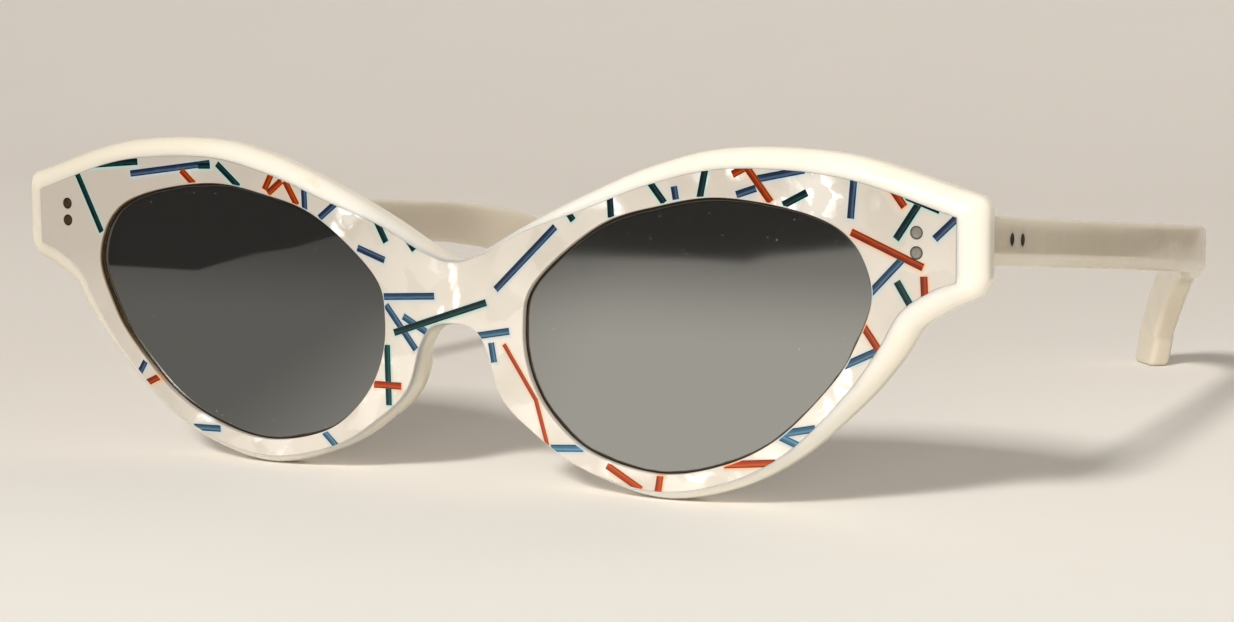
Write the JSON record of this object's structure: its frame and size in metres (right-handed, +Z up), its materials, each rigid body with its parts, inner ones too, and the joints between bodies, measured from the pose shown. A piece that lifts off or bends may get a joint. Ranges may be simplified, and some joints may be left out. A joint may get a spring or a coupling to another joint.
{
  "type": "butterfly sunglasses",
  "caption": "Butterfly sunglasses with a bevelled cream front, a pearl panel with inlaid coloured sticks, flat grey lenses and folding temples.",
  "frame": {"origin": "middle of the base, on the surface that the rims and the temple tips stand on", "axes": "+X towards the wearer's left, along the front; +Y back along the temples; +Z up"},
  "size_m": [0.141, 0.135, 0.043],
  "materials": {
    "cream_acetate": "polished",
    "pearl": "pearlescent",
    "orange_stick": "polished",
    "green_stick": "polished",
    "blue_stick": "polished",
    "grey_lens": "polished",
    "pad_acetate": "polished",
    "hinge_metal": "satin",
    "rivet_metal": "satin",
    "screw_metal": "polished",
    "temple_acetate": "polished"
  },
  "bodies": {
    "front": {"front_frame": "cream_acetate", "pearl_face": "pearl", "inlay_orange": "orange_stick", "inlay_green": "green_stick", "inlay_blue": "blue_stick", "lens_left": "grey_lens", "lens_right": "grey_lens", "nose_pad_left": "pad_acetate", "nose_pad_right": "pad_acetate", "hinge_front_leaf_left": "hinge_metal", "hinge_front_leaf_right": "hinge_metal", "front_rivets_left": "rivet_metal", "front_rivets_right": "rivet_metal", "hinge_screw_left": "screw_metal", "hinge_screw_right": "screw_metal"},
    "temple_left": {"temple_left": "temple_acetate", "hinge_temple_leaf_left": "hinge_metal", "temple_rivets_left": "rivet_metal"},
    "temple_right": {"temple_right": "temple_acetate", "hinge_temple_leaf_right": "hinge_metal", "temple_rivets_right": "rivet_metal"}
  },
  "joints": [
    {"name": "temple_left_fold", "type": "hinge", "parent": "front", "child": "temple_left", "pos_m": [0.0647, -0.06161, 0.03245], "axis": [0, 0.0157, 0.9999], "range_deg": [0, 84]},
    {"name": "temple_right_fold", "type": "hinge", "parent": "front", "child": "temple_right", "pos_m": [-0.0647, -0.06161, 0.03245], "axis": [0, -0.0157, -0.9999], "range_deg": [0, 70]}
  ]
}
